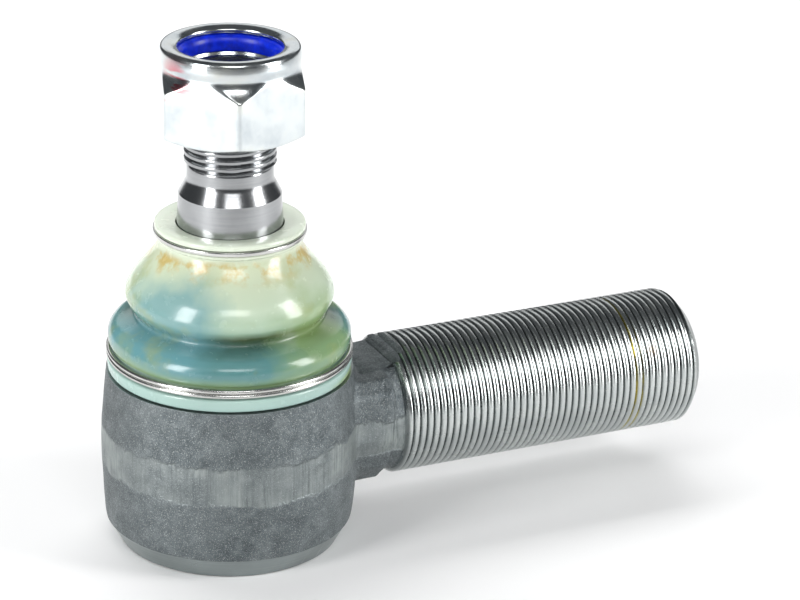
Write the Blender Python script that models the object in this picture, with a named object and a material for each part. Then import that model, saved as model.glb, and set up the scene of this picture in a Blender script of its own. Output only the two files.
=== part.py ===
"""Tie rod end: a ball stud in a forged housing with a threaded shank, dust boot and lock nut.

Metres, +Z up. The origin is the centre of the housing's base, +X runs along the shank
and +Z along the stud. The stud stands upright, which is the middle of its swing.
"""
from math import acos, asin, cos, degrees, pi, radians, sin, sqrt

import bmesh
import bpy
from mathutils import Vector

MM = 0.001
GAP = 0.3

# Housing: a turned cup with a shank, all one forging (mm)
BELLY_RADIUS = 34.2
BELLY_HEIGHT = 28.0
BASE_RADIUS = 29.3
BEVEL_HEIGHT = 6.0
SHOULDER_HEIGHT = 48.0
RIM_RADIUS = 28.6
RIM_HEIGHT = 55.0
MOUTH_RADIUS = 24.0
SOCKET_RADIUS = 24.3
SOCKET_TOP = 38.9
COVER_RECESS = 26.0
COVER_TOP = 7.0
COVER_THICKNESS = 3.7
CRIMP_RADIUS = 22.0
BOSS_RADIUS = 19.5

# Shank and neck (mm)
SHANK_HEIGHT = 29.0
SHANK_RADIUS = 19.0
SHANK_END = 135.0
SHANK_START = 28.0
SHANK_CHAMFER = 3.0
NECK_END = 40.5
NECK_HALF_WIDTH = 18.2
NECK_TOP = 43.5
NECK_BOTTOM = 9.5
SCOOP_RADIUS = 13.0

# Ball stud (mm)
BALL_RADIUS = 20.0
BALL_FLAT = 18.0
STUD_NECK_RADIUS = 13.0
TAPER_START = 74.0
TAPER_END = 96.6
TAPER_RADIUS = 13.4
TAPER_SLOPE = 1 / 16
UNDERCUT_RADIUS = 11.3
UNDERCUT_START = 100.6
THREAD_START = 104.4
THREAD_RADIUS = 12.0
STUD_TOP = 129.6

# Lock nut (mm)
NUT_FLATS = 36.0
NUT_BASE = 112.7
NUT_TOP = 136.7
HEX_TOP = 131.6
COLLAR_RADIUS = 18.0
NUT_CORNER_ANGLE = 14.0
NUT_BORE = THREAD_RADIUS + 0.35
COLLAR_MOUTH = 13.6
INSERT_BASE = 130.4
INSERT_TOP = 134.6
INSERT_RADIUS = 16.0

# Dust boot and its clamping rings (mm)
BOOT_TOP = 88.8
FLANGE_RADIUS = 19.7
LIP_BOTTOM = 84.9
LOWER_RING_BOTTOM = 51.8
LOWER_RING_TOP = 54.4
LOWER_RING_RADIUS = 32.5
UPPER_RING_RADIUS = 20.1


def clear_scene():
    for item in list(bpy.data.objects):
        bpy.data.objects.remove(item, do_unlink=True)


def material(name, colour, roughness, metallic, alpha=1.0):
    mat = bpy.data.materials.new(name)
    mat.use_nodes = True
    shader = mat.node_tree.nodes["Principled BSDF"]
    shader.inputs["Base Color"].default_value = (*colour, 1.0)
    shader.inputs["Roughness"].default_value = roughness
    shader.inputs["Metallic"].default_value = metallic
    shader.inputs["Alpha"].default_value = alpha
    return mat


def new_object(name, mesh_data, mat, origin=(0.0, 0.0, 0.0)):
    """Turn a bmesh drawn in millimetres into an object whose origin lies at a given point."""
    offset = Vector(origin) * MM
    bmesh.ops.scale(mesh_data, vec=(MM, MM, MM), verts=mesh_data.verts)
    bmesh.ops.translate(mesh_data, vec=-offset, verts=mesh_data.verts)
    bmesh.ops.recalc_face_normals(mesh_data, faces=mesh_data.faces)
    mesh = bpy.data.meshes.new(name)
    mesh_data.to_mesh(mesh)
    mesh_data.free()
    mesh.shade_smooth()
    mesh.set_sharp_from_angle(angle=radians(32))
    mesh.materials.append(mat)
    item = bpy.data.objects.new(name, mesh)
    item.location = offset
    bpy.context.scene.collection.objects.link(item)
    return item


def arc(centre_r, centre_z, radius, start, end, steps):
    """Points of an arc in the radius and height plane, angles in degrees from +R."""
    angles = [radians(start + (end - start) * i / steps) for i in range(steps + 1)]
    return [(centre_r + radius * cos(a), centre_z + radius * sin(a)) for a in angles]


def turn(outline, segments=36, closed=True):
    """Spin an outline of (radius, height) points about Z; an open one starts and ends on the axis."""
    mesh_data = bmesh.new()
    verts = [mesh_data.verts.new((r, 0.0, z)) for r, z in outline]
    pairs = list(zip(verts, verts[1:]))
    if closed:
        pairs.append((verts[-1], verts[0]))
    edges = [mesh_data.edges.new(pair) for pair in pairs]
    bmesh.ops.spin(mesh_data, geom=verts + edges, cent=(0, 0, 0), axis=(0, 0, 1),
                   angle=2 * pi, steps=segments, use_merge=True)
    bmesh.ops.remove_doubles(mesh_data, verts=mesh_data.verts, dist=1e-4)
    return mesh_data


def prism(points, low, high, axis):
    """Extrude a flat outline between two coordinates along X or Y."""
    mesh_data = bmesh.new()
    if axis == "X":
        verts = [mesh_data.verts.new((low, a, b)) for a, b in points]
        move = (high - low, 0.0, 0.0)
    else:
        verts = [mesh_data.verts.new((a, low, b)) for a, b in points]
        move = (0.0, high - low, 0.0)
    face = mesh_data.faces.new(verts)
    sides = bmesh.ops.extrude_face_region(mesh_data, geom=[face])
    moved = [v for v in sides["geom"] if isinstance(v, bmesh.types.BMVert)]
    bmesh.ops.translate(mesh_data, vec=move, verts=moved)
    return mesh_data


def cut_or_join(target, tool, operation):
    """Add an exact Boolean with a hidden tool object."""
    tool.hide_render = True
    tool.display_type = "WIRE"
    modifier = target.modifiers.new(tool.name, "BOOLEAN")
    modifier.operation = operation
    modifier.solver = "EXACT"
    modifier.object = tool


def housing_cup_outline():
    """Closed half-section of the cup: outer side, rim, mouth cone, socket and crimped base."""
    outer = [(BASE_RADIUS, 0.0), (32.6, BEVEL_HEIGHT), (33.4, 13.0), (33.9, 20.0),
             (BELLY_RADIUS, BELLY_HEIGHT), (33.9, 35.0), (33.1, 42.0), (32.3, SHOULDER_HEIGHT - 1)]
    rim = [(31.4, SHOULDER_HEIGHT - GAP), (RIM_RADIUS, SHOULDER_HEIGHT - GAP),
           (RIM_RADIUS, RIM_HEIGHT - 1), (RIM_RADIUS - 1, RIM_HEIGHT), (MOUTH_RADIUS, RIM_HEIGHT)]
    socket = [(18.2, SOCKET_TOP + 0.6), (18.2, SOCKET_TOP), (SOCKET_RADIUS, SOCKET_TOP),
              (SOCKET_RADIUS, COVER_TOP), (COVER_RECESS, COVER_TOP),
              (COVER_RECESS, COVER_TOP - COVER_THICKNESS - 2 * GAP)]
    crimp = [(CRIMP_RADIUS, COVER_TOP - COVER_THICKNESS - 2 * GAP), (CRIMP_RADIUS, 0.0)]
    return outer + rim + socket + crimp


def neck_outline():
    """Eight-sided section of the neck across the shank."""
    half = [(NECK_HALF_WIDTH - 7.5, NECK_BOTTOM), (NECK_HALF_WIDTH, NECK_BOTTOM + 7.5),
            (NECK_HALF_WIDTH, NECK_TOP - 5.0), (NECK_HALF_WIDTH - 4.5, NECK_TOP)]
    return half + [(-y, z) for y, z in reversed(half)]


def shank_mesh():
    """Plain bar of the thread's major diameter, chamfered at its free end, lying along X."""
    outline = [(0.0, SHANK_START), (SHANK_RADIUS, SHANK_START),
               (SHANK_RADIUS, SHANK_END - SHANK_CHAMFER * 0.8),
               (SHANK_RADIUS - SHANK_CHAMFER, SHANK_END), (0.0, SHANK_END)]
    mesh_data = turn(outline, segments=48, closed=False)
    for vert in mesh_data.verts:
        vert.co = Vector((vert.co.z, vert.co.y, SHANK_HEIGHT - vert.co.x))
    return mesh_data


def scoop_mesh():
    """Round-nosed block that clears the top of the neck and runs out into the shank."""
    centre_x = NECK_END - 2.0
    centre_z = NECK_TOP + SCOOP_RADIUS
    curve = arc(centre_x, centre_z, SCOOP_RADIUS, -90.0, -12.0, 6)
    back = SHANK_START - 12.0
    above = centre_z + 4.0
    outline = [(back, NECK_TOP)] + curve + [(curve[-1][0], above), (back, above)]
    return prism(outline, -30.0, 30.0, "Y")


def build_housing():
    steel = material("forged_steel", (0.17, 0.19, 0.195), 0.55, 0.9)
    shank = new_object("housing", shank_mesh(), steel)
    neck = new_object("neck_tool", prism(neck_outline(), SHANK_START, NECK_END, "X"), steel)
    scoop = new_object("scoop_tool", scoop_mesh(), steel)
    cup = new_object("cup_tool", turn(housing_cup_outline()), steel)
    cut_or_join(shank, neck, "UNION")
    cut_or_join(shank, scoop, "DIFFERENCE")
    cut_or_join(shank, cup, "UNION")


def build_ball_stud():
    steel = material("ground_steel", (0.42, 0.42, 0.43), 0.18, 1.0)
    low_angle = -degrees(asin(BALL_FLAT / BALL_RADIUS))
    high_angle = degrees(acos(STUD_NECK_RADIUS / BALL_RADIUS))
    ball = arc(0.0, SHANK_HEIGHT, BALL_RADIUS, low_angle, high_angle, 12)
    root = TAPER_RADIUS + (TAPER_END - TAPER_START) * TAPER_SLOPE
    neck = [(STUD_NECK_RADIUS, TAPER_START - 12.0), (root, TAPER_START)]
    shoulder = [(TAPER_RADIUS, TAPER_END), (UNDERCUT_RADIUS, UNDERCUT_START),
                (UNDERCUT_RADIUS, THREAD_START - 0.7)]
    thread = [(THREAD_RADIUS, THREAD_START), (THREAD_RADIUS, STUD_TOP - 1.6),
              (THREAD_RADIUS - 1.6, STUD_TOP)]
    outline = [(0.0, ball[0][1])] + ball + neck + shoulder + thread + [(0.0, STUD_TOP)]
    new_object("ball_stud", turn(outline, closed=False), steel, (0, 0, SHANK_HEIGHT))


def seat_arc(low, high, steps):
    """The seats' spherical face, a gap larger than the ball, between two heights."""
    radius = BALL_RADIUS + GAP
    start = degrees(asin((low - SHANK_HEIGHT) / radius))
    end = degrees(asin((high - SHANK_HEIGHT) / radius))
    return arc(0.0, SHANK_HEIGHT, radius, start, end, steps)


def build_ball_seats():
    plastic = material("seat_plastic", (0.78, 0.76, 0.68), 0.45, 0.0)
    outer = SOCKET_RADIUS - GAP
    upper_low = SHANK_HEIGHT + 0.2
    upper_high = SOCKET_TOP - GAP
    upper = seat_arc(upper_low, upper_high, 4) + [(outer, upper_high), (outer, upper_low)]
    new_object("upper_ball_seat", turn(upper), plastic)
    lower_low = SHANK_HEIGHT - BALL_FLAT + 0.5
    lower_high = SHANK_HEIGHT - 0.2
    lower = seat_arc(lower_low, lower_high, 6) + [(outer, lower_high), (outer, lower_low)]
    new_object("lower_ball_seat", turn(lower), plastic)


def build_base_closure():
    """Cover plate held by the crimped edge, its sealing ring, and the spring that loads the seats."""
    zinc = material("zinc_steel", (0.6, 0.6, 0.6), 0.35, 1.0)
    rubber = material("black_rubber", (0.02, 0.02, 0.02), 0.7, 0.0)
    spring_steel = material("spring_steel", (0.25, 0.25, 0.27), 0.35, 1.0)
    edge = COVER_RECESS - GAP
    top = COVER_TOP - GAP
    bottom = top - COVER_THICKNESS
    middle = (top + bottom) / 2
    groove = edge - 1.7
    plate = [(0.0, 0.0), (BOSS_RADIUS - 1.0, 0.0), (BOSS_RADIUS, 0.6), (BOSS_RADIUS, bottom),
             (edge, bottom), (edge, middle - 0.9), (groove, middle - 0.9),
             (groove, middle + 0.9), (edge, middle + 0.9), (edge, top), (0.0, top)]
    new_object("cover_plate", turn(plate, closed=False), zinc)
    ring = arc((groove + edge + GAP) / 2, middle, 0.6, 0, 300, 5)
    new_object("cover_seal_ring", turn(ring), rubber)
    seat_bottom = SHANK_HEIGHT - BALL_FLAT + 0.5
    low = top + GAP
    high = seat_bottom - GAP
    washer = [(22.5, low), (22.5, low + 1.5), (12.5, high), (12.5, high - 1.5)]
    new_object("preload_spring", turn(washer), spring_steel)


def build_dust_boot():
    """Two folds between the housing's rim and the flange that seals on the steering arm."""
    urethane = material("boot_urethane", (0.55, 0.72, 0.66), 0.3, 0.0, 0.75)
    base = SHOULDER_HEIGHT
    bore = RIM_RADIUS + GAP
    ring_seat = LOWER_RING_RADIUS - 1.5 - GAP
    lip = [(bore, base), (32.2, base), (32.2, LOWER_RING_BOTTOM - GAP),
           (ring_seat, LOWER_RING_BOTTOM - GAP), (ring_seat, LOWER_RING_TOP + GAP)]
    lower_fold = arc(28.4, 57.9, 3.5, -45, 80, 4)
    upper_fold = arc(23.4, 69.4, 3.8, -55, 45, 4)
    neck = UPPER_RING_RADIUS - 1.5 - GAP
    top = [(20.2, 80.4), (18.4, LIP_BOTTOM - 1.2), (18.4, LIP_BOTTOM), (FLANGE_RADIUS, LIP_BOTTOM),
           (FLANGE_RADIUS, LIP_BOTTOM + 0.7), (neck, LIP_BOTTOM + 0.7), (neck, LIP_BOTTOM + 2.3),
           (FLANGE_RADIUS, LIP_BOTTOM + 2.3), (FLANGE_RADIUS, BOOT_TOP - 0.5),
           (FLANGE_RADIUS - 0.8, BOOT_TOP)]
    outside = lip + lower_fold + [(24.9, 63.9)] + upper_fold + top
    taper_low = TAPER_RADIUS + (TAPER_END - 82.0) * TAPER_SLOPE + GAP
    taper_high = TAPER_RADIUS + (TAPER_END - BOOT_TOP) * TAPER_SLOPE + GAP
    inside = [(taper_high, BOOT_TOP), (taper_low, 82.0), (17.6, 80.0), (22.0, 74.6), (25.0, 70.0),
              (24.4, 67.0), (22.9, 64.9), (23.0, 62.6), (27.4, 60.0), (29.4, 57.4), (29.0, 55.2)]
    new_object("dust_boot", turn(outside + inside), urethane)


def build_boot_rings():
    steel = material("ring_steel", (0.72, 0.72, 0.7), 0.25, 1.0)
    outer = LOWER_RING_RADIUS
    middle = (LOWER_RING_BOTTOM + LOWER_RING_TOP) / 2
    lower = [(outer - 1.5, LOWER_RING_BOTTOM), (outer - 0.4, LOWER_RING_BOTTOM),
             (outer, LOWER_RING_BOTTOM + 0.4), (outer - 0.35, middle), (outer, LOWER_RING_TOP - 0.4),
             (outer - 0.4, LOWER_RING_TOP), (outer - 1.5, LOWER_RING_TOP)]
    new_object("boot_lower_ring", turn(lower), steel)
    low = LIP_BOTTOM + 0.7 + GAP
    high = LIP_BOTTOM + 2.3 - GAP
    upper = [(UPPER_RING_RADIUS - 1.5, low), (UPPER_RING_RADIUS, low),
             (UPPER_RING_RADIUS, high), (UPPER_RING_RADIUS - 1.5, high)]
    new_object("boot_upper_ring", turn(upper), steel)


def nut_blank_outline():
    """Half-section of the nut's turned shape: seat, chamfers, cone, collar and rolled lip."""
    corner = NUT_FLATS / sqrt(3)
    seat = [(NUT_BORE + 0.8, NUT_BASE), (NUT_FLATS / 2 - 1.0, NUT_BASE), (corner + 0.6, NUT_BASE + 2.2)]
    cone = [(corner + 0.6, HEX_TOP - 5.2), (COLLAR_RADIUS, HEX_TOP)]
    collar = [(COLLAR_RADIUS, NUT_TOP - 3.2)] + arc(COLLAR_RADIUS - 2.6, NUT_TOP - 2.6, 2.6, 15, 90, 4)
    mouth = [(COLLAR_MOUTH, NUT_TOP), (COLLAR_MOUTH, INSERT_TOP + GAP),
             (INSERT_RADIUS + GAP, INSERT_TOP + GAP), (INSERT_RADIUS + GAP, INSERT_BASE - GAP)]
    bore = [(NUT_BORE + 0.4, INSERT_BASE - GAP), (NUT_BORE, INSERT_BASE - 1.0), (NUT_BORE, NUT_BASE + 0.8)]
    return seat + cone + collar + mouth + bore


def hexagon_mesh():
    """Six-sided block across the flats, used to cut the blank."""
    mesh_data = bmesh.new()
    bmesh.ops.create_cone(mesh_data, cap_ends=True, segments=6, radius1=NUT_FLATS / sqrt(3),
                          radius2=NUT_FLATS / sqrt(3), depth=60.0)
    turn_angle = radians(NUT_CORNER_ANGLE)
    for vert in mesh_data.verts:
        x, y, z = vert.co
        vert.co = Vector((x * cos(turn_angle) - y * sin(turn_angle),
                          x * sin(turn_angle) + y * cos(turn_angle), z + NUT_BASE))
    return mesh_data


def build_lock_nut():
    zinc = material("nut_zinc", (0.78, 0.8, 0.82), 0.2, 1.0)
    nylon = material("blue_nylon", (0.0, 0.03, 0.75), 0.4, 0.0)
    nut = new_object("lock_nut", turn(nut_blank_outline()), zinc)
    collar_cover = [(0.0, HEX_TOP - 0.2), (26.0, HEX_TOP - 0.2), (26.0, NUT_TOP + 3), (0.0, NUT_TOP + 3)]
    hexagon = new_object("hexagon_tool", hexagon_mesh(), zinc)
    keep = new_object("collar_tool", turn(collar_cover, segments=32, closed=False), zinc)
    cut_or_join(hexagon, keep, "UNION")
    cut_or_join(nut, hexagon, "INTERSECT")
    insert = [(THREAD_RADIUS + GAP, INSERT_BASE), (INSERT_RADIUS, INSERT_BASE),
              (INSERT_RADIUS, INSERT_TOP), (THREAD_RADIUS + 1.0, INSERT_TOP),
              (THREAD_RADIUS + GAP, INSERT_TOP - 0.9)]
    new_object("nylon_insert", turn(insert), nylon)


clear_scene()
build_housing()
build_ball_stud()
build_ball_seats()
build_base_closure()
build_dust_boot()
build_boot_rings()
build_lock_nut()
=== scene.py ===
from math import asin, atan2, cos, hypot, pi, radians, sin, sqrt

import bmesh
import bpy
from mathutils import Matrix, Vector, noise


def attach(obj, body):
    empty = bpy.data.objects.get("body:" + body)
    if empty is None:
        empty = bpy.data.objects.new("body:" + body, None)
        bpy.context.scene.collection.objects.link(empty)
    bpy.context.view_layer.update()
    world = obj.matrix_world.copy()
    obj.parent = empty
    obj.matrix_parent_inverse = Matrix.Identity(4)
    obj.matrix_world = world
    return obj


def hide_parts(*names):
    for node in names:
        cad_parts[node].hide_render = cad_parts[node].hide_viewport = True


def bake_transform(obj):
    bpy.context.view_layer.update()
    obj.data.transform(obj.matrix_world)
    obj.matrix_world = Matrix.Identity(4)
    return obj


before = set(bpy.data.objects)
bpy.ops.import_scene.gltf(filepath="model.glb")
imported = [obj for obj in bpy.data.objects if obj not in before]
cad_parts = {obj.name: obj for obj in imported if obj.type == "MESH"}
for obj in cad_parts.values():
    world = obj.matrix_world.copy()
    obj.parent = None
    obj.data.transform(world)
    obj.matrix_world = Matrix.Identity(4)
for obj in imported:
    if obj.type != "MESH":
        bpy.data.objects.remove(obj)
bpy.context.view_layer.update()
mm = 0.001
print("frame loaded:", ", ".join(sorted(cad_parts)))


# turned outlines are (radius, height) in millimetres; a third number rounds that corner

def softened(points, steps=4, closed=True):
    count = len(points)
    result = []
    for index, point in enumerate(points):
        here = Vector(point[:2])
        fillet = point[2] if len(point) > 2 else 0.0
        atEnd = not closed and index in (0, count - 1)
        if fillet == 0.0 or atEnd:
            result.append(tuple(here))
            continue
        before = Vector(points[index - 1][:2]) - here
        after = Vector(points[(index + 1) % count][:2]) - here
        reach = min(fillet, before.length * 0.49, after.length * 0.49)
        start = here + before.normalized() * reach
        end = here + after.normalized() * reach
        for step in range(steps + 1):  # a quadratic curve through the corner
            t = step / steps
            spot = start * (1 - t) ** 2 + here * 2 * t * (1 - t) + end * t ** 2
            result.append(tuple(spot))
    return result


def flowing(points, steps=5):  # a smooth line through every point given
    ends = [points[0]] + list(points) + [points[-1]]
    result = []
    for a, b, c, d in zip(ends, ends[1:], ends[2:], ends[3:]):
        a, b, c, d = (Vector(p) for p in (a, b, c, d))
        for step in range(steps):
            t = step / steps
            spot = (b * 2 + (c - a) * t + (a * 2 - b * 5 + c * 4 - d) * t ** 2
                    + (b * 3 - a - c * 3 + d) * t ** 3) * 0.5
            result.append(tuple(spot))
    result.append(tuple(points[-1]))
    return result


def turned(outline, segments=160, closed=True):
    shape = bmesh.new()
    verts = [shape.verts.new((r * mm, 0.0, z * mm)) for r, z in outline]
    pairs = list(zip(verts, verts[1:]))
    if closed:
        pairs.append((verts[-1], verts[0]))
    edges = [shape.edges.new(pair) for pair in pairs]
    bmesh.ops.spin(shape, geom=verts + edges, cent=(0, 0, 0), axis=(0, 0, 1),
                   angle=2 * pi, steps=segments, use_merge=True)
    bmesh.ops.remove_doubles(shape, verts=shape.verts, dist=1e-6)
    bmesh.ops.recalc_face_normals(shape, faces=shape.faces)
    return shape


# one pitch of a thread's outline: the share of the pitch along it, and the share of the depth cut away
threadOutline = [(0.0, 0.0), (0.21, 0.0), (0.26, 0.08), (0.45, 0.92), (0.5, 1.0), (0.55, 0.92), (0.74, 0.08),
                 (0.79, 0.0), (1.0, 0.0)]


def threaded(settings, length):  # a screw standing on zero, wound from that outline and cut to length
    pitch = settings["pitch"] * mm
    crest = settings["radius"] * mm
    root = crest - settings["depth"] * mm
    hand = settings["hand"]
    perTurn = settings["perTurn"]
    turns = int(length / settings["pitch"]) + 3
    shape = bmesh.new()
    low = -1.5 * pitch
    verts = [shape.verts.new((root + (crest - root) * (1 - share), 0.0, low + pitch * along))
             for along, share in threadOutline]
    edges = [shape.edges.new(pair) for pair in zip(verts, verts[1:])]
    bmesh.ops.spin(shape, geom=verts + edges, cent=(0, 0, 0), axis=(0, 0, 1), angle=2 * pi * turns * hand,
                   steps=perTurn * turns, dvec=(0, 0, pitch / perTurn), use_merge=False)
    bmesh.ops.remove_doubles(shape, verts=shape.verts, dist=pitch * 0.004)
    for height, side in ((0.0, -1), (length * mm, 1)):
        everything = shape.verts[:] + shape.edges[:] + shape.faces[:]
        cut = bmesh.ops.bisect_plane(shape, geom=everything, dist=1e-7, plane_co=(0, 0, height),
                                     plane_no=(0, 0, side), clear_outer=True)
        rim = [e for e in cut["geom_cut"] if isinstance(e, bmesh.types.BMEdge)]
        bmesh.ops.edgeloop_fill(shape, edges=rim)
    bmesh.ops.recalc_face_normals(shape, faces=shape.faces)
    return shape


def taperedEnds(shape, length, radius, chamfers):  # the lathe's chamfer at each end of a thread
    for vert in shape.verts:
        r = hypot(vert.co.x, vert.co.y)
        if r < 1e-6:
            continue
        limit = radius * mm
        for end, (depth, width) in zip((vert.co.z, length * mm - vert.co.z), chamfers):
            if end < width * mm:
                limit = min(limit, (radius - depth * (1 - end / (width * mm))) * mm)
        if r > limit:
            vert.co.x *= limit / r
            vert.co.y *= limit / r


def finished(name, shape, material, angle=35):
    mesh = bpy.data.meshes.new(name)
    shape.to_mesh(mesh)
    shape.free()
    mesh.shade_smooth()
    mesh.set_sharp_from_angle(angle=radians(angle))
    if material:
        mesh.materials.append(material)
    piece = bpy.data.objects.new(name, mesh)
    bpy.context.scene.collection.objects.link(piece)
    return piece


def settle(piece):  # applies every modifier on the piece
    bpy.context.view_layer.update()
    graph = bpy.context.evaluated_depsgraph_get()
    mesh = bpy.data.meshes.new_from_object(piece.evaluated_get(graph))
    piece.modifiers.clear()
    old = piece.data
    piece.data = mesh
    bpy.data.meshes.remove(old)


def cutBy(piece, tool, operation="DIFFERENCE"):
    modifier = piece.modifiers.new("cut", "BOOLEAN")
    modifier.operation = operation
    modifier.solver = "EXACT"
    modifier.object = tool
    settle(piece)
    bpy.data.objects.remove(tool)


def freshMaterial(name, look):
    material = bpy.data.materials.new(name)
    material.use_nodes = True
    tree = material.node_tree
    shader = tree.nodes["Principled BSDF"]
    for socket, value in look.items():
        shader.inputs[socket].default_value = value
    return material, tree, shader


def addNode(tree, kind, sockets=None, **settings):
    made = tree.nodes.new(kind)
    for key, value in settings.items():
        setattr(made, key, value)
    for socket, value in (sockets or {}).items():
        target = made.inputs[socket]
        if isinstance(value, bpy.types.NodeSocket):
            tree.links.new(value, target)
        else:
            target.default_value = value
    return made


def grain(tree, place, scale, detail, roughness=0.55, stretch=(1, 1, 1)):
    mapping = addNode(tree, "ShaderNodeMapping", {"Vector": place, "Scale": stretch})
    made = addNode(tree, "ShaderNodeTexNoise", {"Vector": mapping.outputs[0], "Scale": scale, "Detail": detail,
                                                "Roughness": roughness})
    return made.outputs["Fac"]


def ramp(tree, fac, stops):
    made = addNode(tree, "ShaderNodeValToRGB", {"Fac": fac})
    band = made.color_ramp
    while len(band.elements) < len(stops):
        band.elements.new(0.5)
    for element, (position, colour) in zip(band.elements, stops):
        element.position = position
        element.color = (*colour, 1) if len(colour) == 3 else colour
    return made.outputs["Color"]


def remap(tree, value, low, high, newLow=0.0, newHigh=1.0):
    made = addNode(tree, "ShaderNodeMapRange", {"Value": value, "From Min": low, "From Max": high,
                                                "To Min": newLow, "To Max": newHigh})
    return made.outputs["Result"]


def maths(tree, operation, a, b=0.0, c=0.0):
    made = addNode(tree, "ShaderNodeMath", {0: a, 1: b, 2: c}, operation=operation)
    return made.outputs[0]


def blended(tree, fac, a, b):
    made = addNode(tree, "ShaderNodeMix", {0: fac, 6: a, 7: b}, data_type="RGBA")
    return made.outputs[2]


def bumped(tree, height, strength, distance, under=None):
    sockets = {"Height": height, "Strength": strength, "Distance": distance}
    if under is not None:
        sockets["Normal"] = under
    return addNode(tree, "ShaderNodeBump", sockets).outputs[0]


def objectPlace(tree):
    return addNode(tree, "ShaderNodeTexCoord").outputs["Object"]


def spread(tree, place):  # x, y and z of a point
    return addNode(tree, "ShaderNodeSeparateXYZ", {0: place}).outputs


def nearness(tree, place, spot, radius):  # 1 at a spot in millimetres, 0 beyond its radius
    centre = [v * mm for v in spot]
    far = addNode(tree, "ShaderNodeVectorMath", {0: place, 1: centre}, operation="DISTANCE")
    return remap(tree, far.outputs["Value"], 0.0, radius * mm, 1.0, 0.0)


forgingLook = {"dark": (0.07, 0.085, 0.092), "mid": (0.118, 0.138, 0.146), "light": (0.205, 0.23, 0.236),
               "paintedGlint": (0.5, 0.53, 0.52), "groundDark": (0.15, 0.17, 0.172), "ground": (0.31, 0.345, 0.34),
               "groundLight": (0.38, 0.41, 0.4), "bandMiddle": 27.4, "bandHalf": 5.2, "bandSoft": 0.4}


def forgedSteel(look):  # dull scale with bright specks painted in as glints, and a band ground bare round the belly
    material, tree, shader = freshMaterial("forged_steel", {"Metallic": 0.75})
    place = objectPlace(tree)
    broad = grain(tree, place, 55, 3)
    patchy = grain(tree, place, 260, 6, 0.62)
    gritty = grain(tree, place, 1500, 3, 0.6)
    fine = grain(tree, place, 4200, 2, 0.6)
    skin = ramp(tree, patchy, [(0.3, look["dark"]), (0.52, look["mid"]), (0.75, look["light"])])
    skin = blended(tree, remap(tree, broad, 0.35, 0.7, 0.0, 0.4), skin, (*look["light"], 1))
    # painted glints: fine bright specks mixed into the scale's colour
    paintedGlints = remap(tree, fine, 0.56, 0.7, 0.0, 0.85)
    skin = blended(tree, paintedGlints, skin, (*look["paintedGlint"], 1))
    height = spread(tree, place)[2]
    off = maths(tree, "ABSOLUTE", maths(tree, "SUBTRACT", height, look["bandMiddle"] * mm))
    ragged = maths(tree, "MULTIPLY_ADD", grain(tree, place, 130, 5, 0.7), 0.006, -0.003)
    edge = maths(tree, "ADD", off, ragged)
    half = look["bandHalf"] * mm
    soft = look["bandSoft"] * mm
    band = remap(tree, edge, half + soft, half - soft)
    patchyBand = remap(tree, grain(tree, place, 90, 4), 0.34, 0.56, 0.25, 1.0)
    band = maths(tree, "MULTIPLY", band, patchyBand)
    scratches = grain(tree, place, 60, 5, 0.7, (24, 24, 1.2))
    ground = ramp(tree, scratches, [(0.3, look["groundDark"]), (0.5, look["ground"]),
                                    (0.75, look["groundLight"])])
    ground = blended(tree, remap(tree, broad, 0.45, 0.62, 0.0, 0.55), ground, skin)
    tree.links.new(blended(tree, band, skin, ground), shader.inputs["Base Color"])
    rough = remap(tree, gritty, 0.3, 0.7, 0.42, 0.66)
    smoothed = remap(tree, scratches, 0.3, 0.7, 0.3, 0.48)
    roughness = addNode(tree, "ShaderNodeMix", {0: band, 2: rough, 3: smoothed}).outputs[0]
    tree.links.new(roughness, shader.inputs["Roughness"])
    relief = maths(tree, "ADD", maths(tree, "MULTIPLY", patchy, 1.6), maths(tree, "MULTIPLY", gritty, 0.5))
    kept = maths(tree, "SUBTRACT", 1.0, maths(tree, "MULTIPLY", band, 0.85))
    relief = maths(tree, "MULTIPLY", relief, kept)
    lines = maths(tree, "MULTIPLY", scratches, maths(tree, "MULTIPLY", band, 0.35))
    normal = bumped(tree, maths(tree, "ADD", relief, lines), 0.75, 0.0005)
    normal = bumped(tree, fine, 0.25, 0.0001, normal)
    tree.links.new(normal, shader.inputs["Normal"])
    return material


def turnedSteel(name, colour, roughRange, ringScale, metallic=1.0, shade=0.75, bump=0.12):
    # off the lathe: fine rings round the upright axis, with a cloudy variation of tone
    material, tree, shader = freshMaterial(name, {"Metallic": metallic})
    place = objectPlace(tree)
    rings = grain(tree, place, ringScale, 5, 0.7, (0.02, 0.02, 1.0))
    cloud = grain(tree, place, 120, 4)
    tone = maths(tree, "ADD", maths(tree, "MULTIPLY", rings, 0.55), maths(tree, "MULTIPLY", cloud, 0.45))
    dull = tuple(c * shade for c in colour)
    tree.links.new(ramp(tree, tone, [(0.32, dull), (0.62, colour)]), shader.inputs["Base Color"])
    tree.links.new(remap(tree, tone, 0.3, 0.7, roughRange[1], roughRange[0]), shader.inputs["Roughness"])
    tree.links.new(bumped(tree, rings, bump, 0.00008), shader.inputs["Normal"])
    return material


# the dark grey and the two depths below paint shade into the thread's grooves
threadLook = {"dull": (0.5, 0.53, 0.53), "bright": (0.6, 0.63, 0.62), "grooveShade": (0.12, 0.14, 0.14),
              "grooveShadeTop": 0.1, "grooveShadeDepth": 0.6, "stain": (0.5, 0.44, 0.1), "stainAt": 114.5, "stainOuter": 1.8,
              "stainInner": 1.2, "rust": (0.22, 0.12, 0.05), "rustSpot": (119.5, -16, 38.5), "rustRadius": 2.4}


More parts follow.
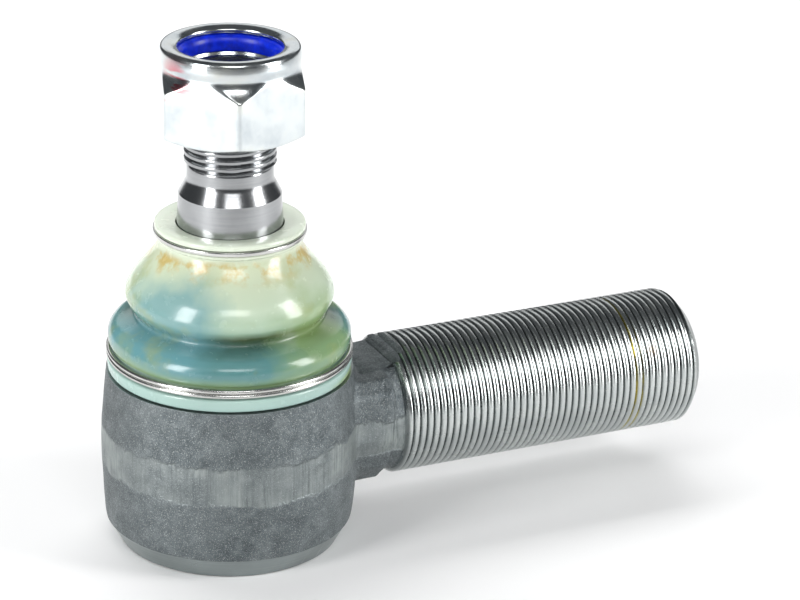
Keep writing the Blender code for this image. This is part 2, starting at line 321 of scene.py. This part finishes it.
def threadSteel(look, shank):  # grooves darkened with painted shade, leaving the crests bright, and a stain in two grooves near the end
    material, tree, shader = freshMaterial("thread_steel", {"Metallic": 1.0})
    place = objectPlace(tree)
    x, y, z = spread(tree, place)[:]
    cloud = grain(tree, place, 150, 5)
    fineRings = grain(tree, place, 1600, 4, 0.7, (1, 0.03, 0.03))
    steel = ramp(tree, cloud, [(0.3, look["dull"]), (0.65, look["bright"])])
    drop = maths(tree, "SUBTRACT", z, shank["axisHeight"] * mm)
    squares = maths(tree, "ADD", maths(tree, "MULTIPLY", y, y), maths(tree, "MULTIPLY", drop, drop))
    reach = maths(tree, "SQRT", squares)
    crest = shank["radius"]
    deep = remap(tree, reach, (crest - look["grooveShadeTop"]) * mm, (crest - look["grooveShadeDepth"]) * mm)
    # painted shade: down in the grooves the steel is mixed towards a dark grey
    steel = blended(tree, maths(tree, "MULTIPLY", deep, 0.8), steel, (*look["grooveShade"], 1))
    fromStain = maths(tree, "ABSOLUTE", maths(tree, "SUBTRACT", x, look["stainAt"] * mm))
    stain = remap(tree, fromStain, look["stainOuter"] * mm, look["stainInner"] * mm)
    stain = maths(tree, "MULTIPLY", stain, remap(tree, grain(tree, place, 240, 4), 0.38, 0.55))
    stain = maths(tree, "MULTIPLY", stain, deep)
    steel = blended(tree, stain, steel, (*look["stain"], 1))
    rusty = nearness(tree, place, look["rustSpot"], look["rustRadius"])
    rust = maths(tree, "MULTIPLY", rusty, remap(tree, cloud, 0.35, 0.6))
    steel = blended(tree, rust, steel, (*look["rust"], 1))
    tree.links.new(steel, shader.inputs["Base Color"])
    tree.links.new(remap(tree, cloud, 0.3, 0.7, 0.22, 0.3), shader.inputs["Roughness"])
    tree.links.new(bumped(tree, fineRings, 0.05, 0.00004), shader.inputs["Normal"])
    return material


zincLook = {"dark": (0.52, 0.57, 0.6), "mid": (0.66, 0.7, 0.71), "warm": (0.7, 0.72, 0.68),
            "marking": (0.62, 0.05, 0.09), "markingSpot": (-18.2, -5.5, 130.5), "markingRadius": 7}


def brightZinc(look):  # plated and nearly a mirror, with a smear of red marking paint
    material, tree, shader = freshMaterial("nut_zinc", {"Metallic": 1.0})
    place = objectPlace(tree)
    cloud = grain(tree, place, 140, 5, 0.6)
    pits = grain(tree, place, 1400, 3, 0.6)
    zinc = ramp(tree, cloud, [(0.3, look["dark"]), (0.5, look["mid"]), (0.7, look["warm"])])
    smears = maths(tree, "MULTIPLY", nearness(tree, place, look["markingSpot"], look["markingRadius"]),
                   remap(tree, grain(tree, place, 260, 3, 0.5, (0.3, 0.3, 2)), 0.5, 0.58))
    zinc = blended(tree, smears, zinc, (*look["marking"], 1))
    tree.links.new(zinc, shader.inputs["Base Color"])
    tree.links.new(remap(tree, cloud, 0.3, 0.7, 0.13, 0.27), shader.inputs["Roughness"])
    tree.links.new(bumped(tree, maths(tree, "ADD", pits, cloud), 0.12, 0.00012), shader.inputs["Normal"])
    return material


# colours go up the boot from its lip to its flange, with a dark band of painted shade in the crease between the
# folds; clouds are (place, radius) of grease seen inside
urethaneLook = {
    "low": 48.0, "high": 89.2,
    "levels": [(0.0, (0.34, 0.5, 0.46)), (0.13, (0.36, 0.5, 0.45)), (0.17, (0.22, 0.33, 0.16)),
               (0.24, (0.09, 0.22, 0.22)), (0.32, (0.1, 0.24, 0.24)), (0.365, (0.045, 0.1, 0.08)),
               (0.42, (0.07, 0.1, 0.04)), (0.47, (0.32, 0.45, 0.33)), (0.6, (0.5, 0.6, 0.46)),
               (0.84, (0.56, 0.62, 0.44)), (0.88, (0.62, 0.69, 0.54)), (1.0, (0.68, 0.75, 0.62))],
    "blue": {"colour": (0.13, 0.31, 0.345), "share": 0.75,
             "clouds": (((-20, -16, 69), 19), ((-28, -12, 60), 26))},
    "green": {"colour": (0.25, 0.36, 0.13), "share": 0.7,
              "clouds": (((16, -26, 58), 24), ((24, 8, 60), 22))},
    "grease": (0.34, 0.36, 0.09), "amber": (0.5, 0.34, 0.07), "squeezed": (0.3, 0.42, 0.05),
    "squeezedLow": 48.8, "squeezedHigh": 50.2}


def bootUrethane(look):  # milky, slightly green; the folds darken where the grease inside touches the wall
    material, tree, shader = freshMaterial("boot_urethane", {
        "Metallic": 0.0, "IOR": 1.5, "Coat Weight": 0.35, "Coat Roughness": 0.06, "Subsurface Weight": 0.2,
        "Subsurface Radius": (0.8, 1.0, 0.9), "Subsurface Scale": 0.004})
    place = objectPlace(tree)
    x, y, z = spread(tree, place)[:]
    level = remap(tree, z, look["low"] * mm, look["high"] * mm)
    wander = grain(tree, place, 38, 4, 0.5)
    level = maths(tree, "ADD", level, maths(tree, "MULTIPLY_ADD", wander, 0.12, -0.06))
    # the dark levels at 0.365 and 0.42 lie on the crease between the two folds: painted shade
    base = ramp(tree, level, look["levels"])
    inFolds = maths(tree, "MULTIPLY", remap(tree, level, 0.16, 0.26), remap(tree, level, 0.86, 0.74))
    drift = maths(tree, "SUBTRACT", grain(tree, place, 60, 4, 0.55), 0.5)
    for patch in (look["blue"], look["green"]):
        first, second = (nearness(tree, place, spot, radius) for spot, radius in patch["clouds"])
        near = maths(tree, "MAXIMUM", first, second)
        cloudy = remap(tree, maths(tree, "ADD", near, drift), 0.15, 0.6, 0.0, patch["share"])
        base = blended(tree, maths(tree, "MULTIPLY", cloudy, inFolds), base, (*patch["colour"], 1))
    smeared = grain(tree, place, 48, 4, 0.6, (1, 1, 1.3))
    grease = maths(tree, "MULTIPLY", remap(tree, smeared, 0.55, 0.66), inFolds)
    base = blended(tree, maths(tree, "MULTIPLY", grease, 0.4), base, (*look["grease"], 1))
    amber = maths(tree, "MULTIPLY", remap(tree, grain(tree, place, 150, 4, 0.6), 0.48, 0.6),
                  maths(tree, "MULTIPLY", remap(tree, level, 0.72, 0.8), remap(tree, level, 0.88, 0.84)))
    base = blended(tree, maths(tree, "MULTIPLY", amber, 0.75), base, (*look["amber"], 1))
    towardsShank = remap(tree, maths(tree, "ADD", x, y), -0.012, 0.006)
    underLip = remap(tree, z, look["squeezedHigh"] * mm, look["squeezedLow"] * mm)
    squeezed = maths(tree, "MULTIPLY", towardsShank, underLip)
    base = blended(tree, maths(tree, "MULTIPLY", squeezed, 0.8), base, (*look["squeezed"], 1))
    tree.links.new(base, shader.inputs["Base Color"])
    tree.links.new(remap(tree, grain(tree, place, 300, 4), 0.3, 0.7, 0.16, 0.3), shader.inputs["Roughness"])
    tree.links.new(bumped(tree, grain(tree, place, 90, 3), 0.12, 0.0006), shader.inputs["Normal"])
    return material


def blueNylon():
    material, tree, shader = freshMaterial("blue_nylon", {
        "Subsurface Weight": 0.15, "Subsurface Radius": (0.1, 0.2, 1.0), "Subsurface Scale": 0.001})
    place = objectPlace(tree)
    cloud = grain(tree, place, 500, 4)
    blue = ramp(tree, cloud, [(0.3, (0.0, 0.012, 0.42)), (0.7, (0.0, 0.03, 0.8))])
    tree.links.new(blue, shader.inputs["Base Color"])
    tree.links.new(remap(tree, cloud, 0.3, 0.7, 0.28, 0.42), shader.inputs["Roughness"])
    tree.links.new(bumped(tree, grain(tree, place, 1800, 2), 0.1, 0.0001), shader.inputs["Normal"])
    return material


def mouldedPlain(name, light, dark, roughRange):  # seats and the sealing ring
    material, tree, shader = freshMaterial(name, {})
    place = objectPlace(tree)
    cloud = grain(tree, place, 400, 4)
    tree.links.new(ramp(tree, cloud, [(0.3, dark), (0.7, light)]), shader.inputs["Base Color"])
    tree.links.new(remap(tree, cloud, 0.3, 0.7, *roughRange), shader.inputs["Roughness"])
    tree.links.new(bumped(tree, grain(tree, place, 1500, 2), 0.15, 0.0001), shader.inputs["Normal"])
    return material


cupDesign = {"baseRadius": 29.3, "bevelHeight": 6.0, "rimRadius": 28.6, "rimHeight": 55.0, "shoulder": 47.7,
             "mouthRadius": 24.0, "socketRadius": 24.3, "socketTop": 38.9, "crimpRadius": 22.0,
             "coverTop": 7.0, "recessRadius": 26.0, "recessBottom": 2.7, "voxel": 0.75}
shankDesign = {"axisHeight": 29.0, "radius": 19.0, "pitch": 2.0, "depth": 0.85, "hand": -1, "perTurn": 72,
               "start": 43.2, "end": 135.0, "reliefStart": 30.0, "reliefRadius": 17.7,
               "chamfers": ((1.6, 1.6), (3.0, 2.6)), "bareLength": 14.0, "hiddenLength": 2.6}
neckDesign = {"start": 24.0, "end": 40.4, "halfWidth": 18.4, "top": 43.5, "bottom": 11.0, "sideLow": 26.5,
              "upperChamfer": 3.4, "scoopRadius": 13.0, "scoopCentre": 38.5, "scoopSweep": 80, "clear": 70}


def block(outline, low, high, along):  # a flat outline drawn across an axis, pulled out along it
    shape = bmesh.new()
    verts = [shape.verts.new((low * mm, a * mm, b * mm) if along == "x" else (a * mm, low * mm, b * mm))
             for a, b in outline]
    face = shape.faces.new(verts)
    grown = bmesh.ops.extrude_face_region(shape, geom=[face])["geom"]
    moved = [v for v in grown if isinstance(v, bmesh.types.BMVert)]
    step = (high - low) * mm
    bmesh.ops.translate(shape, verts=moved, vec=(step, 0, 0) if along == "x" else (0, step, 0))
    bmesh.ops.recalc_face_normals(shape, faces=shape.faces)
    return shape


def scoopTool(design):  # what a milling cutter takes off the top of the neck, and all that is over it
    x, z = design["scoopCentre"], design["top"] + design["scoopRadius"]
    turn = [radians(-90 + design["scoopSweep"] * i / 20) for i in range(21)]
    curve = [(x + design["scoopRadius"] * cos(a), z + design["scoopRadius"] * sin(a)) for a in turn]
    inCup = design["start"] - 14
    outline = [(inCup, design["top"])] + curve + [(curve[-1][0], design["clear"]), (inCup, design["clear"])]
    return finished("scoop", block(outline, -30, 30, "y"), None)


def lieAlongX(shape, axisHeight, start):  # a bar made standing up is laid on the shank's axis
    turnOver = Matrix.Rotation(radians(90), 4, "Y")
    bmesh.ops.transform(shape, matrix=Matrix.Translation((start * mm, 0, axisHeight * mm)) @ turnOver,
                        verts=shape.verts)


def makeForging(cup, neck, shank, skin, machined):
    belly = [(0, 0.0), (30.4, 0.0, 1.5), (32.8, 5.0, 6), (33.6, 14, 8), (33.95, 22, 6), (34.0, 33, 6),
             (33.2, 41, 8), (32.4, 49.5, 1.0), (31.5, 55.8, 0.6), (0, 55.8)]
    raw = finished("housing_forging", turned(softened(belly, 5, False), 128, False), skin)
    w = neck["halfWidth"]
    chamfer = neck["upperChamfer"]
    right = [(8.0, neck["bottom"]), (14.8, neck["bottom"] + 6.5), (w, neck["sideLow"]),
             (w, neck["top"] - chamfer), (w - chamfer, neck["top"])]
    section = right + [(-y, z) for y, z in reversed(right)]
    cutBy(raw, finished("neck", block(section, 12.0, neck["end"], "x"), None), "UNION")
    web = turned([(0, 10.5), (16.2, 10.5), (16.2, 33.0), (0, 35.5)], 64, False)
    lieAlongX(web, shank["axisHeight"], 0)
    cutBy(raw, finished("web", web, None), "UNION")
    remesh = raw.modifiers.new("forged", "REMESH")
    remesh.mode = "VOXEL"
    remesh.voxel_size = cup["voxel"] * 1.0 * mm
    settle(raw)
    shape = bmesh.new()
    shape.from_mesh(raw.data)
    for smoothing in range(3):
        bmesh.ops.smooth_vert(shape, verts=shape.verts, factor=0.5, use_axis_x=True, use_axis_y=True,
                              use_axis_z=True)
    shape.normal_update()
    for vert in shape.verts:  # hammer and die marks: broad, shallow waves in the skin
        wave = noise.noise(vert.co * 90) * 0.16 + noise.noise(vert.co * 260) * 0.06
        vert.co += vert.normal * wave * mm
    shape.to_mesh(raw.data)
    shape.free()
    for tool in machiningTools(cup, machined):
        cutBy(raw, tool)
    raw.data.materials.clear()
    raw.data.materials.append(skin)
    raw.data.materials.append(machined)
    paintMachinedFaces(raw, cup)
    raw.data.shade_smooth()
    raw.data.set_sharp_from_angle(angle=radians(38))
    return raw


def machiningTools(cup, machined):  # what the lathe takes off the forging, one cut after another
    rim, height = cup["rimRadius"], cup["rimHeight"]
    base, bevel = cup["baseRadius"], cup["bevelHeight"]
    crimp, recess = cup["crimpRadius"], cup["recessRadius"]
    socket, mouth = cup["socketRadius"], cup["mouthRadius"]
    cuts = {"shoulder": ([(rim, cup["shoulder"]), (37, cup["shoulder"]), (37, 62), (rim, 62)], True),
            "rim": ([(0, height), (36, height), (36, 63), (0, 63)], False),
            "bevel": ([(base, 0.0), (base + 3.3, bevel), (42, bevel), (42, -4), (base - 1.5, -4)], True),
            "base": ([(0, 0.0), (40, 0.0), (40, -4), (0, -4)], False),
            "bore": ([(0, -2), (crimp, -2), (crimp, cup["recessBottom"]), (recess, cup["recessBottom"]),
                      (recess, cup["coverTop"]), (socket, cup["coverTop"]), (socket, cup["socketTop"]),
                      (18.2, cup["socketTop"]), (18.2, cup["socketTop"] + 0.6), (mouth, height),
                      (mouth + 3, height + 5), (0, height + 5)], False)}
    for name, (outline, closed) in cuts.items():
        yield finished(name, turned(outline, 192, closed), machined)


def paintMachinedFaces(piece, cup):  # the lathe's faces take the second material
    for face in piece.data.polygons:
        r = hypot(face.center.x, face.center.y) / mm
        z = face.center.z / mm
        bevelled = z < cup["bevelHeight"] + 0.02
        inside = r < cup["recessRadius"] + 0.2
        top = z > cup["shoulder"] - 0.05
        face.material_index = 1 if bevelled or inside or top else 0


def paintCutFaces(piece, design, bareRadius, skin):  # what the scoop leaves bare is as rough as the forging
    piece.data.materials.append(skin)
    for face in piece.data.polygons:
        reach = hypot(face.center.y, face.center.z - design["axisHeight"] * mm) / mm
        bare = reach < bareRadius and face.center.x < (design["start"] + design["bareLength"]) * mm
        if bare or face.center.x < (design["start"] - design["hiddenLength"]) * mm:
            face.material_index = 1


def makeShank(design, neck, steel, skin):
    length = design["end"] - design["start"]
    shape = threaded(design, length)
    taperedEnds(shape, length, design["radius"], design["chamfers"])
    lieAlongX(shape, design["axisHeight"], design["start"])
    bar = finished("shank_thread", shape, steel, 50)
    radius, start, end = design["reliefRadius"], design["reliefStart"], design["start"] + 0.3
    outline = softened([(0, start), (16.0, start), (radius, start), (radius, end), (0, end)], 3, False)
    relief = turned(outline, 128, False)
    lieAlongX(relief, design["axisHeight"], 0)
    reliefBar = finished("shank_relief", relief, steel)
    cutBy(bar, scoopTool(neck))
    cutBy(reliefBar, scoopTool(neck))
    paintCutFaces(bar, design, design["radius"] - design["depth"] - 0.15, skin)
    paintCutFaces(reliefBar, design, radius - 0.15, skin)
    return bar, reliefBar


forgingSkin = forgedSteel(forgingLook)
socketSteel = turnedSteel("machined_steel", (0.3, 0.335, 0.335), (0.25, 0.4), 1400, metallic=0.9, shade=0.8,
                          bump=0.2)
shankSteel = threadSteel(threadLook, shankDesign)
forging = makeForging(cupDesign, neckDesign, shankDesign, forgingSkin, socketSteel)
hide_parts("housing")
shankPieces = makeShank(shankDesign, neckDesign, shankSteel, forgingSkin)
for piece in (forging, *shankPieces):
    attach(piece, "housing")
print("housing and shank made")


studDesign = {"ballRadius": 20.0, "ballHeight": 29.0, "ballFlat": 18.0, "neckRadius": 13.0, "taperStart": 74.0,
              "taperEnd": 96.6, "taperRadius": 13.4, "slope": 1 / 16, "undercut": 11.3, "undercutStart": 100.6,
              "threadStart": 104.4, "overlap": 0.4, "top": 129.6}
studThread = {"radius": 12.0, "pitch": 2.0, "depth": 0.9, "hand": 1, "perTurn": 72,
              "chamfers": ((1.2, 1.2), (1.7, 1.7))}


def makeStud(design, thread, steel):
    low = -asin(design["ballFlat"] / design["ballRadius"])
    high = atan2(sqrt(design["ballRadius"] ** 2 - design["neckRadius"] ** 2), design["neckRadius"])
    turn = [low + (high - low) * i / 48 for i in range(49)]
    ball = [(design["ballRadius"] * cos(a), design["ballHeight"] + design["ballRadius"] * sin(a)) for a in turn]
    root = design["taperRadius"] + (design["taperEnd"] - design["taperStart"]) * design["slope"]
    undercut, threadStart = design["undercut"], design["threadStart"]
    rest = [(design["neckRadius"], design["taperStart"] - 12, 4), (root, design["taperStart"], 2),
            (design["taperRadius"], design["taperEnd"]), (undercut, design["undercutStart"], 0.8),
            (undercut, threadStart - 0.2, 0.4), (10.6, threadStart + 1.0), (0, threadStart + 1.5)]
    outline = [(0, ball[0][1])] + ball + softened(rest, 4, False)
    body = finished("ball_stud_body", turned(outline, 160, False), steel, 11)
    length = design["top"] - threadStart + design["overlap"]
    shape = threaded(thread, length)
    taperedEnds(shape, length, thread["radius"], thread["chamfers"])
    bmesh.ops.translate(shape, verts=shape.verts, vec=(0, 0, (threadStart - design["overlap"]) * mm))
    screw = finished("ball_stud_thread", shape, steel, 50)
    return body, screw


studSteel = turnedSteel("ground_steel", (0.42, 0.43, 0.44), (0.14, 0.26), 2600, shade=0.8, bump=0.1)
studPieces = makeStud(studDesign, studThread, studSteel)
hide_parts("ball_stud")
for piece in studPieces:
    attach(piece, "stud")
print("ball stud made")


nutDesign = {"flats": 36.0, "base": 112.7, "top": 136.7, "hexTop": 131.8, "coneDrop": 5.6, "collarRadius": 18.0,
             "mouth": 13.6, "bore": 12.35, "turnedBy": 14.0, "faceInset": 1.4, "bevelRise": 2.3, "spare": 0.7}
insertDesign = {"inner": 12.3, "outer": 16.0, "bottom": 130.4, "top": 134.6}


def softLeast(a, b, blend):  # the smaller of two lengths, rounded over where they are nearly equal
    share = max(blend - abs(a - b), 0.0) / blend
    return min(a, b) - share * share * blend * 0.25


def makeNut(design, insert, zinc):  # a round blank is turned, and its six flats are then pressed in
    across = design["flats"] / 2
    corner = design["flats"] / sqrt(3)
    blank = corner + design["spare"]
    face = across - design["faceInset"]
    base, top, cone = design["base"], design["top"], design["hexTop"]
    bevelTop = base + design["bevelRise"]
    coneLow = cone - design["coneDrop"]
    lower = [(face + (blank - face) * i / 12, base + design["bevelRise"] * i / 12) for i in range(12)]
    sides = [(blank, bevelTop + (coneLow - bevelTop) * i / 8) for i in range(9)]
    collarRadius, mouth, bore = design["collarRadius"], design["mouth"], design["bore"]
    flare = blank - collarRadius
    upper = [(blank - flare * sin(radians(4.5 * i)) ** 0.9, coneLow + design["coneDrop"] * i / 20)
             for i in range(1, 20)]
    groove, grooveTop, grooveBottom = insert["outer"] + 0.1, insert["top"] + 0.2, insert["bottom"] - 0.2
    collar = softened([(collarRadius, cone, 0.6), (collarRadius + 0.3, top - 3.4, 1.0),
                       (collarRadius, top, 2.9), (15.2, top, 1.2), (mouth, top - 0.7, 0.6),
                       (mouth, grooveTop, 0.3), (groove, grooveTop),
                       (groove, grooveBottom), (bore + 0.4, grooveBottom), (bore, insert["bottom"] - 0.9),
                       (bore, base + 1.3), (bore + 1.3, base)], 6, False)
    shape = turned(lower + sides + upper + collar, 360)
    for vert in shape.verts:
        r = hypot(vert.co.x, vert.co.y) / mm
        if r < across - 1.5 or vert.co.z > (cone + 0.2) * mm:
            continue
        angle = (atan2(vert.co.y, vert.co.x) - radians(design["turnedBy"])) % radians(60) - radians(30)
        pressed = softLeast(r, across / cos(angle), 0.35)
        pressed = softLeast(pressed, corner - 0.12, 0.3)
        vert.co.x *= pressed / r
        vert.co.y *= pressed / r
    return finished("lock_nut_body", shape, zinc, 28)


def makeInsert(design, nylon):
    inner, outer, bottom, top = design["inner"], design["outer"], design["bottom"], design["top"]
    outline = [(inner, bottom, 0.3), (outer, bottom, 0.3), (outer, top, 0.3), (inner + 0.9, top, 0.8),
               (inner, top - 1.4, 0.8)]
    return finished("nylon_ring", turned(softened(outline, 5), 160), nylon)


nutZinc = brightZinc(zincLook)
nut = makeNut(nutDesign, insertDesign, nutZinc)
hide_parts("lock_nut")
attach(nut, "nut")
nylonRing = makeInsert(insertDesign, blueNylon())
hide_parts("nylon_insert")
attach(nylonRing, "insert")
print("lock nut made")


bootDesign = {"base": 48.0, "bore": 28.9, "top": 88.8, "flange": 19.7, "lipBottom": 84.9, "neck": 18.3}
ringDesign = {"radius": 32.5, "bottom": 51.8, "wire": 1.26, "turns": 2, "stepOver": 0.1, "sides": 14,
              "perTurn": 180, "startsAt": 70, "upperRadius": 20.05, "upperLow": 85.75, "upperHigh": 87.05, "upperWidth": 1.6}


def makeBoot(design, ring, urethane):
    seat = ring["radius"] - 1.75
    base, flange, neck = design["base"], design["flange"], design["neck"]
    lip = softened([(design["bore"], base, 0.3), (32.1, base, 0.7), (32.3, ring["bottom"] - 0.6, 0.5),
                    (seat, ring["bottom"] - 0.3, 0.2), (seat, 54.8, 0.4)], 4, False)
    folds = flowing([(31.4, 55.0), (31.95, 56.6), (31.7, 59.0), (29.9, 61.1), (27.2, 62.3), (25.2, 63.2),
                     (25.1, 64.3), (26.2, 66.0), (27.2, 68.2), (27.15, 70.4), (25.7, 73.4), (23.1, 76.6),
                     (20.8, 79.4), (19.0, 82.2), (18.5, 83.7)], 6)
    collar = softened([(18.5, 84.3), (flange - 0.1, design["lipBottom"], 0.4), (flange - 0.1, 85.6, 0.2),
                       (neck, 85.7, 0.2), (neck, 87.1, 0.2), (flange, 87.2, 0.3),
                       (flange, design["top"] - 0.25, 1.2), (17.5, design["top"], 2.0),
                       (14.2, design["top"] - 0.5, 0.5)], 4, False)
    inside = flowing([(14.5, 86.8), (15.4, 84.9), (17.4, 83.0), (19.4, 79.6), (22.0, 75.6), (24.9, 71.2),
                      (24.9, 68.0), (24.05, 65.4), (24.1, 62.9), (27.4, 60.2), (29.6, 58.0), (29.2, 55.8),
                      (28.95, 54.0), (28.9, 50.0)], 4)
    wall = turned(lip + folds + collar + inside, 180)
    return finished("boot_folds", wall, urethane, 50)


def makeLowerRing(design, steel):  # one wire wound twice round, its ends side by side
    sides, perTurn, stepOver = design["sides"], design["perTurn"], design["stepOver"]
    thickness = design["wire"]
    start = ((design["radius"] - thickness / 2) * mm, 0, (design["bottom"] + thickness / 2) * mm)
    wire = bmesh.new()
    bmesh.ops.create_circle(wire, segments=sides, radius=thickness / 2 * mm)
    bmesh.ops.rotate(wire, verts=wire.verts, cent=(0, 0, 0), matrix=Matrix.Rotation(radians(90), 3, "X"))
    bmesh.ops.translate(wire, verts=wire.verts, vec=start)
    bmesh.ops.rotate(wire, verts=wire.verts, cent=(0, 0, 0),
                     matrix=Matrix.Rotation(radians(design["startsAt"]), 3, "Z"))
    total = design["turns"] - stepOver
    bmesh.ops.spin(wire, geom=wire.verts[:] + wire.edges[:], cent=(0, 0, 0), axis=(0, 0, 1),
                   angle=2 * pi * total, steps=round(perTurn * total))
    for index, vert in enumerate(wire.verts):  # the first turn ends by stepping up beside its own start
        wound = index // sides / perTurn
        rise = min(max((wound - 1 + stepOver) / stepOver, 0.0), 1.0)
        vert.co.z += rise * rise * (3 - 2 * rise) * thickness * 1.02 * mm
    bmesh.ops.holes_fill(wire, edges=[e for e in wire.edges if len(e.link_faces) == 1], sides=0)
    bmesh.ops.recalc_face_normals(wire, faces=wire.faces)
    return finished("boot_wire_ring", wire, steel)


def makeUpperRing(design, steel):
    outer, inner = design["upperRadius"], design["upperRadius"] - design["upperWidth"]
    low, high = design["upperLow"], design["upperHigh"]
    outline = [(inner, low, 0.2), (outer, low, 0.4), (outer, high, 0.4), (inner, high, 0.2)]
    return finished("boot_neck_ring", turned(softened(outline, 4), 160), steel)


urethane = bootUrethane(urethaneLook)
boot = makeBoot(bootDesign, ringDesign, urethane)
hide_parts("dust_boot")
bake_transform(boot)
ringSteel = turnedSteel("ring_steel", (0.72, 0.72, 0.7), (0.16, 0.3), 3000)
wireRing = makeLowerRing(ringDesign, ringSteel)
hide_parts("boot_lower_ring")
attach(wireRing, "housing")
neckRing = makeUpperRing(ringDesign, ringSteel)
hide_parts("boot_upper_ring")
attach(neckRing, "boot_top")
print("boot and rings made")


insideDesign = {"gap": 0.3, "coverTop": 6.7, "coverBottom": 3.0, "coverRadius": 25.7, "dish": 0.9}


def makeInside(cup, stud, design):
    seatFinish = mouldedPlain("seat_plastic", (0.78, 0.76, 0.68), (0.66, 0.63, 0.54), (0.38, 0.55))
    rubber = mouldedPlain("black_rubber", (0.03, 0.03, 0.03), (0.012, 0.012, 0.012), (0.55, 0.75))
    springSteel = turnedSteel("spring_steel", (0.3, 0.3, 0.32), (0.25, 0.4), 1200)
    coverSteel = turnedSteel("zinc_steel", (0.62, 0.62, 0.6), (0.25, 0.42), 1600)
    ball = stud["ballRadius"] + design["gap"]
    outer = cup["socketRadius"] - design["gap"]
    centre = stud["ballHeight"]

    def hollow(low, high):
        first, last = asin((low - centre) / ball), asin((high - centre) / ball)
        turn = [first + (last - first) * i / 16 for i in range(17)]
        return [(ball * cos(a), centre + ball * sin(a)) for a in turn]

    seatLow, seatHigh = centre - stud["ballFlat"] + 0.5, cup["socketTop"] - design["gap"]
    lower = hollow(seatLow, centre - 0.2) + [(outer, centre - 0.2, 0.4), (outer, seatLow, 0.8)]
    upper = hollow(centre + 0.2, seatHigh) + [(outer, seatHigh, 0.8), (outer, centre + 0.2, 0.4)]
    edge, top, bottom = design["coverRadius"], design["coverTop"], design["coverBottom"]
    middle = (top + bottom) / 2
    dish = design["dish"]
    inGroove, step = edge - 1.7, 0.9
    cover = [(0, dish), (12.0, dish, 1.5), (14.0, 0.0, 1.2), (19.3, 0.0, 1.6), (19.5, bottom, 0.8),
             (edge, bottom, 0.3), (edge, middle - step), (inGroove, middle - step), (inGroove, middle + step),
             (edge, middle + step), (edge, top, 0.3), (0, top)]
    turn = [2 * pi * i / 16 for i in range(16)]
    seal = [(edge - 0.85 + 0.6 * cos(a), middle + 0.6 * sin(a)) for a in turn]
    low, high = top + design["gap"], seatLow - design["gap"]
    washer = [(22.5, low, 0.2), (22.5, low + 1.5, 0.2), (12.5, high, 0.2), (12.5, high - 1.5, 0.2)]
    above = finished("seat_above", turned(softened(upper), 120), seatFinish)
    below = finished("seat_below", turned(softened(lower), 120), seatFinish)
    plate = finished("cover", turned(softened(cover, 4, False), 160, False), coverSteel)
    ring = finished("seal", turned(seal, 120), rubber)
    spring = finished("spring_washer", turned(softened(washer), 120), springSteel)
    pieces = ((above, "upper_ball_seat", "seat_plastic"), (below, "lower_ball_seat", "seat_plastic"),
              (plate, "cover_plate", "zinc_steel"), (ring, "cover_seal_ring", "black_rubber"),
              (spring, "preload_spring", "spring_steel"))
    for piece, node, slot in pieces:
        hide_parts(node)
        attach(piece, "housing")


makeInside(cupDesign, studDesign, insideDesign)
print("inside of the socket made")


stageDesign = {"floorTone": (0.86, 0.86, 0.86), "floorDrop": 0.2, "floorReach": 6.0,
               "roomTone": (0.36, 0.38, 0.4), "roomStrength": 0.22}
cameraDesign = {"target": (42.8, -13.9, 64.7), "distance": 858.0, "azimuth": -25.94, "elevation": 22.18,
                "roll": 1.37, "focalLength": 146.3}
lampDesign = {
    "strip_left": {"spot": (-764, -238, 330), "size": (260, 640), "power": 6.0},
    "strip_right": {"spot": (624, -500, 330), "size": (260, 640), "power": 5.5},
    "front_fill": {"spot": (-180, -640, 620), "size": (420, 200), "power": 1.5},
    "back_card": {"spot": (488, 1004, 547), "size": (1400, 460), "power": 1.9},
    "floor_wash": {"spot": (0, 700, 900), "size": (1600, 700), "power": 17, "aim": (0, 900, 0),
                   "inGlints": False}}


def makeStage(design):
    material, tree, shader = freshMaterial("studio_paper", {"Roughness": 0.9})
    place = objectPlace(tree)
    tone = design["floorTone"]
    paper = ramp(tree, grain(tree, place, 3, 3), [(0.3, tuple(c * 0.985 for c in tone)), (0.7, tone)])
    tree.links.new(paper, shader.inputs["Base Color"])
    floor = bmesh.new()
    bmesh.ops.create_grid(floor, x_segments=2, y_segments=2, size=design["floorReach"])
    bmesh.ops.translate(floor, verts=floor.verts, vec=(0, 0, -design["floorDrop"] * mm))
    piece = finished("studio_floor", floor, material)
    world = bpy.data.worlds.new("room")
    bpy.context.scene.world = world
    world.use_nodes = True
    background = world.node_tree.nodes["Background"]
    background.inputs["Color"].default_value = (*design["roomTone"], 1)
    background.inputs["Strength"].default_value = design["roomStrength"]


def softbox(name, spot, size, power, aim=(40, 0, 50), inGlints=True):
    light = bpy.data.lights.new(name, "AREA")
    light.shape = "RECTANGLE"
    light.size = size[0] * mm
    light.size_y = size[1] * mm
    light.energy = power
    lamp = bpy.data.objects.new(name, light)
    lamp.location = Vector(spot) * mm
    lamp.rotation_euler = (Vector(aim) * mm - lamp.location).to_track_quat("-Z", "Y").to_euler()
    lamp.visible_glossy = inGlints
    bpy.context.scene.collection.objects.link(lamp)


def makeCamera(design):
    azimuth, elevation = radians(design["azimuth"]), radians(design["elevation"])
    backwards = Vector((sin(azimuth) * cos(elevation), -cos(azimuth) * cos(elevation), sin(elevation)))
    data = bpy.data.cameras.new("camera")
    data.sensor_width = 36
    data.lens = design["focalLength"]
    data.clip_start = 0.02
    camera = bpy.data.objects.new("camera", data)
    camera.location = Vector(design["target"]) * mm + backwards * design["distance"] * mm
    facing = (-backwards).to_track_quat("-Z", "Y").to_matrix().to_4x4()
    camera.rotation_euler = (facing @ Matrix.Rotation(radians(design["roll"]), 4, "Z")).to_euler()
    bpy.context.scene.collection.objects.link(camera)
    bpy.context.scene.camera = camera


makeStage(stageDesign)
for name, lamp in lampDesign.items():
    softbox(name, **lamp)
bpy.context.scene.view_settings.view_transform = "Standard"
makeCamera(cameraDesign)
print("scene ready")
